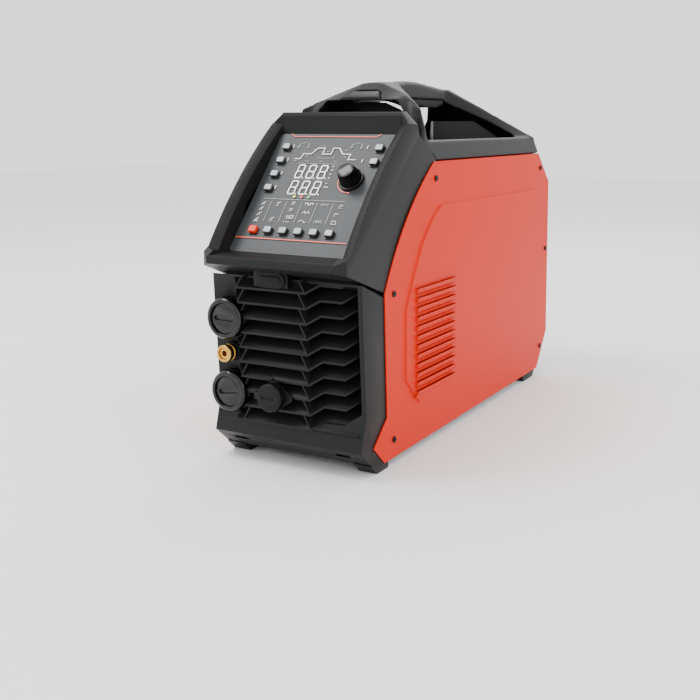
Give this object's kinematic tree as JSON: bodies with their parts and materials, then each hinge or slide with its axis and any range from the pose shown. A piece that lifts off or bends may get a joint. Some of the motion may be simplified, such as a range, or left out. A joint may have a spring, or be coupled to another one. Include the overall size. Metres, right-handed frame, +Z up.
{
  "type": "tig welding machine",
  "caption": "Portable TIG welding power source: sloping control head, louvred front with output, gas and control sockets, steel side covers, arched carry handle, rear fan and gland.",
  "frame": {"origin": "on the ground, below the middle of the overall box", "axes": "+Z up; the control head faces -Y; +X is the right-hand side of somebody facing the controls"},
  "size_m": [0.255, 0.767, 0.531],
  "materials": {
    "cover_orange": "satin powder coat",
    "dark_plastic": "fine moulded texture",
    "black_plastic": "fine moulded texture",
    "gloss_black": "gloss",
    "soft_grip": "matt soft-touch",
    "panel_film": "satin printed film",
    "display_glass": "satin window over lit digits",
    "lamp_lens": "clear tinted lens",
    "button_silver": "silver paint",
    "button_red": "translucent red",
    "brass": "turned",
    "screw_black": "black oxide",
    "zinc_steel": "zinc plated",
    "heatsink_alloy": "extruded",
    "circuit_board": "solder mask",
    "capacitor_sleeve": "shrink sleeve",
    "core_ferrite": "matt",
    "copper": "bare",
    "hose_black": "smooth"
  },
  "bodies": {
    "machine": {"lower_front_panel": "dark_plastic", "control_bezel": "dark_plastic", "control_overlay": "panel_film", "encoder_body": "zinc_steel", "display_module": "display_glass", "indicator_lamps": "lamp_lens", "control_board": "circuit_board", "right_cover": "cover_orange", "left_cover": "cover_orange", "case_screws": "screw_black", "handle_frame": "dark_plastic", "handle_front_cap": "dark_plastic", "grip_insert": "soft_grip", "top_deck": "black_plastic", "base_tray": "zinc_steel", "rear_panel": "dark_plastic", "rear_feet": "dark_plastic", "socket_ring_top": "black_plastic", "socket_ring_bottom": "black_plastic", "output_socket_top": "brass", "output_socket_bottom": "brass", "gas_outlet_flange": "black_plastic", "gas_outlet_body": "brass", "control_socket": "black_plastic", "port_cover": "black_plastic", "rear_grille": "black_plastic", "fan_housing": "black_plastic", "mains_switch_body": "black_plastic", "mains_gland": "black_plastic", "gas_inlet": "brass", "earth_stud": "zinc_steel", "inner_chassis": "zinc_steel", "heatsinks": "heatsink_alloy", "power_board": "circuit_board", "capacitor_bank": "capacitor_sleeve", "main_transformer": "core_ferrite", "output_reactor": "core_ferrite", "hf_unit": "core_ferrite", "gas_valve": "brass", "gas_hoses": "hose_black", "busbars": "copper"},
    "button_left_1": {"button_left_1": "button_silver"},
    "button_left_2": {"button_left_2": "button_silver"},
    "button_left_3": {"button_left_3": "button_silver"},
    "button_left_4": {"button_left_4": "button_silver"},
    "button_right_1": {"button_right_1": "button_silver"},
    "button_right_2": {"button_right_2": "button_silver"},
    "button_bottom_1": {"button_bottom_1": "button_red"},
    "button_bottom_2": {"button_bottom_2": "button_silver"},
    "button_bottom_3": {"button_bottom_3": "button_silver"},
    "button_bottom_4": {"button_bottom_4": "button_silver"},
    "button_bottom_5": {"button_bottom_5": "button_silver"},
    "button_bottom_6": {"button_bottom_6": "button_silver"},
    "knob": {"encoder_knob": "gloss_black"},
    "fan": {"fan_rotor": "black_plastic"},
    "switch_knob": {"mains_switch_knob": "gloss_black"},
    "control_cap": {"control_socket_cap": "black_plastic"},
    "top_plug": {"socket_plug_top": "gloss_black"},
    "bottom_plug": {"socket_plug_bottom": "gloss_black"},
    "gas_collar": {"gas_outlet_collar": "brass"}
  },
  "joints": [
    {"name": "button_left_1_press", "type": "slide", "parent": "machine", "child": "button_left_1", "axis": [0, 0.7627, -0.6468], "range_m": [0, 0.0012], "stiffness_N_per_m": 400},
    {"name": "button_left_2_press", "type": "slide", "parent": "machine", "child": "button_left_2", "axis": [0, 0.7627, -0.6468], "range_m": [0, 0.0012], "stiffness_N_per_m": 400},
    {"name": "button_left_3_press", "type": "slide", "parent": "machine", "child": "button_left_3", "axis": [0, 0.7627, -0.6468], "range_m": [0, 0.0012], "stiffness_N_per_m": 400},
    {"name": "button_left_4_press", "type": "slide", "parent": "machine", "child": "button_left_4", "axis": [0, 0.7627, -0.6468], "range_m": [0, 0.0012], "stiffness_N_per_m": 400},
    {"name": "button_right_1_press", "type": "slide", "parent": "machine", "child": "button_right_1", "axis": [0, 0.7627, -0.6468], "range_m": [0, 0.0012], "stiffness_N_per_m": 400},
    {"name": "button_right_2_press", "type": "slide", "parent": "machine", "child": "button_right_2", "axis": [0, 0.7627, -0.6468], "range_m": [0, 0.0012], "stiffness_N_per_m": 400},
    {"name": "button_bottom_1_press", "type": "slide", "parent": "machine", "child": "button_bottom_1", "axis": [0, 0.7627, -0.6468], "range_m": [0, 0.0012], "stiffness_N_per_m": 400},
    {"name": "button_bottom_2_press", "type": "slide", "parent": "machine", "child": "button_bottom_2", "axis": [0, 0.7627, -0.6468], "range_m": [0, 0.0012], "stiffness_N_per_m": 400},
    {"name": "button_bottom_3_press", "type": "slide", "parent": "machine", "child": "button_bottom_3", "axis": [0, 0.7627, -0.6468], "range_m": [0, 0.0012], "stiffness_N_per_m": 400},
    {"name": "button_bottom_4_press", "type": "slide", "parent": "machine", "child": "button_bottom_4", "axis": [0, 0.7627, -0.6468], "range_m": [0, 0.0012], "stiffness_N_per_m": 400},
    {"name": "button_bottom_5_press", "type": "slide", "parent": "machine", "child": "button_bottom_5", "axis": [0, 0.7627, -0.6468], "range_m": [0, 0.0012], "stiffness_N_per_m": 400},
    {"name": "button_bottom_6_press", "type": "slide", "parent": "machine", "child": "button_bottom_6", "axis": [0, 0.7627, -0.6468], "range_m": [0, 0.0012], "stiffness_N_per_m": 400},
    {"name": "knob_turn", "type": "hinge", "parent": "machine", "child": "knob", "pos_m": [0.052, -0.26384, 0.3954], "axis": [0, -0.7627, 0.6468], "continuous": true},
    {"name": "fan_spin", "type": "hinge", "parent": "machine", "child": "fan", "pos_m": [0, 0.3245, 0.215], "axis": [0, 1, 0], "continuous": true},
    {"name": "switch_turn", "type": "hinge", "parent": "machine", "child": "switch_knob", "pos_m": [-0.048, 0.3575, 0.332], "axis": [0, 1, 0], "range_deg": [0, 90]},
    {"name": "control_cap_pull", "type": "slide", "parent": "machine", "child": "control_cap", "axis": [0, -1, 0], "range_m": [0, 0.02]},
    {"name": "top_plug_pull", "type": "slide", "parent": "machine", "child": "top_plug", "axis": [0, -1, 0], "range_m": [0, 0.03]},
    {"name": "bottom_plug_pull", "type": "slide", "parent": "machine", "child": "bottom_plug", "axis": [0, -1, 0], "range_m": [0, 0.03]},
    {"name": "gas_collar_push", "type": "slide", "parent": "machine", "child": "gas_collar", "axis": [0, 1, 0], "range_m": [0, 0.003], "stiffness_N_per_m": 600}
  ]
}
